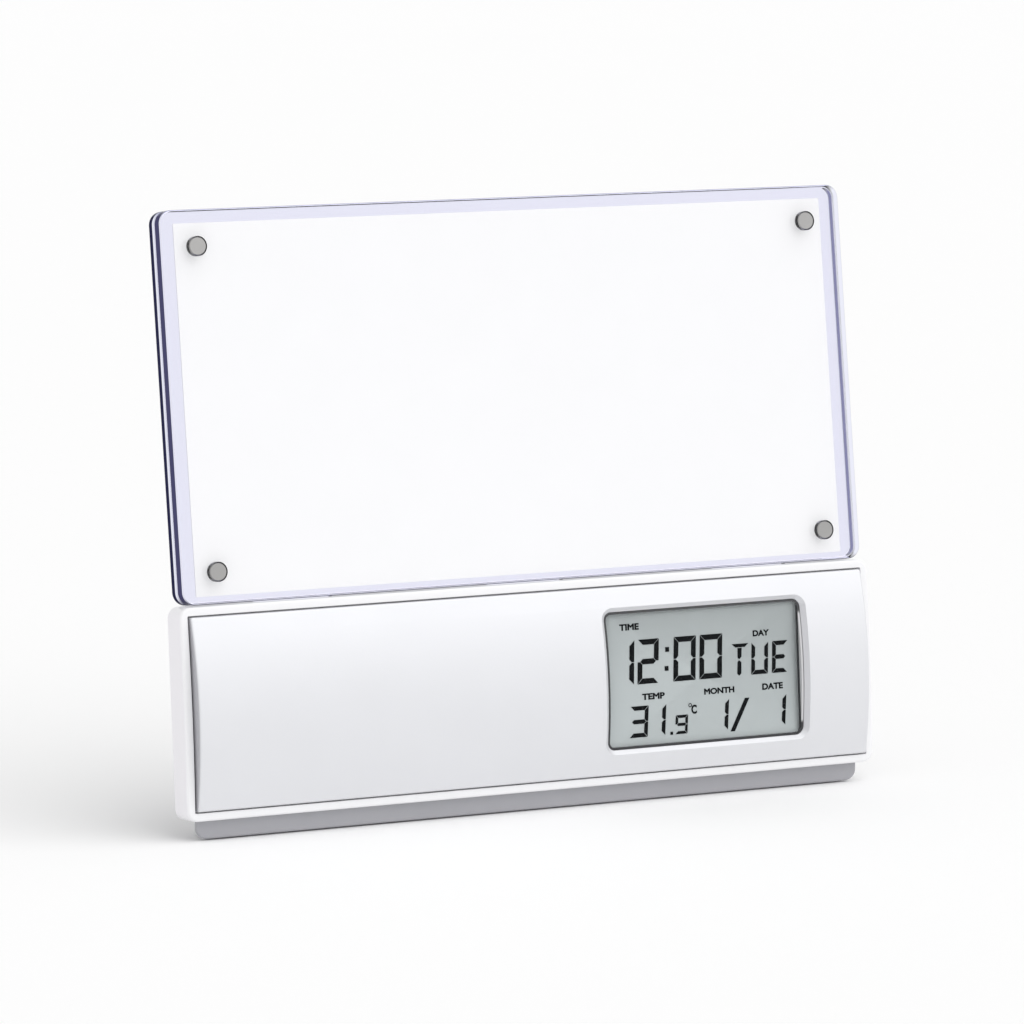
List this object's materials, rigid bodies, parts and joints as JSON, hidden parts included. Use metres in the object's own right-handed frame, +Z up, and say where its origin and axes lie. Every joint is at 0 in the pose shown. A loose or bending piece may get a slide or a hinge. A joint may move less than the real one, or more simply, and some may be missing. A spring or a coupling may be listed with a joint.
{
  "type": "photo frame clock",
  "caption": "Desk clock with a liquid crystal display in a long low housing, and a clear two-plate photo holder closed by magnets standing on it.",
  "frame": {"origin": "on the table, below the middle of the clock's overall width and depth", "axes": "+X to the viewer's right along the housing, +Y to the rear, +Z up"},
  "size_m": [0.1624, 0.034, 0.1278],
  "materials": {
    "clear_acrylic": "clear, polished, faint lavender tint",
    "magnet_nickel": "nickel plated",
    "card_white": "plain white paper",
    "housing_white": "white, satin",
    "panel_silver": "silver paint, satin",
    "gasket_dark": "dark grey, matte",
    "window_clear": "clear",
    "display_grey": "grey liquid crystal with dark digits",
    "film_silver": "satin film",
    "holder_black": "matte",
    "strip_grey": "matte",
    "board_green": "solder mask",
    "potting_black": "satin",
    "metal_can": "satin",
    "sensor_black": "satin",
    "screw_steel": "zinc plated",
    "switch_black": "satin",
    "button_grey": "satin",
    "cover_grey": "silver grey, satin",
    "cell_wrap": "plain dark wrap",
    "contact_nickel": "nickel plated",
    "foot_rubber": "matte"
  },
  "bodies": {
    "clock": {"bezel": "housing_white", "front_panel": "panel_silver", "display_gasket": "gasket_dark", "display_window": "window_clear", "display_glass": "display_grey", "display_reflector": "film_silver", "display_holder": "holder_black", "contact_strips": "strip_grey", "circuit_board": "board_green", "chip_cap": "potting_black", "clock_crystal": "metal_can", "temperature_sensor": "sensor_black", "board_screws": "screw_steel", "key_switches": "switch_black", "rear_cover": "cover_grey", "cover_screws": "screw_steel", "batteries": "cell_wrap", "bridge_contact": "contact_nickel", "positive_contact": "contact_nickel", "negative_contact": "contact_nickel", "rubber_feet": "foot_rubber", "rear_plate": "clear_acrylic", "rear_magnets": "magnet_nickel"},
    "front_plate_body": {"front_plate": "clear_acrylic", "front_magnets": "magnet_nickel"},
    "card_body": {"photo_card": "card_white"},
    "battery_door_body": {"battery_door": "cover_grey"},
    "mode_button_body": {"mode_button": "button_grey", "mode_plunger": "switch_black"},
    "set_button_body": {"set_button": "button_grey", "set_plunger": "switch_black"},
    "adjust_button_body": {"adjust_button": "button_grey", "adjust_plunger": "switch_black"}
  },
  "joints": [
    {"name": "front_plate_pull", "type": "slide", "parent": "clock", "child": "front_plate_body", "axis": [0, -0.991, 0.134], "range_m": [0, 0.03]},
    {"name": "card_lift", "type": "slide", "parent": "clock", "child": "card_body", "axis": [0, 0.134, 0.991], "range_m": [0, 0.078]},
    {"name": "battery_door_pull", "type": "slide", "parent": "clock", "child": "battery_door_body", "axis": [0, 0.9903, 0.1392], "range_m": [0, 0.02]},
    {"name": "mode_button_press", "type": "slide", "parent": "clock", "child": "mode_button_body", "axis": [0, -0.9969, 0.0785], "range_m": [0, 0.0005], "stiffness_N_per_m": 400},
    {"name": "set_button_press", "type": "slide", "parent": "clock", "child": "set_button_body", "axis": [0, -0.9969, 0.0785], "range_m": [0, 0.0005], "stiffness_N_per_m": 400},
    {"name": "adjust_button_press", "type": "slide", "parent": "clock", "child": "adjust_button_body", "axis": [0, -0.9969, 0.0785], "range_m": [0, 0.0005], "stiffness_N_per_m": 400}
  ]
}
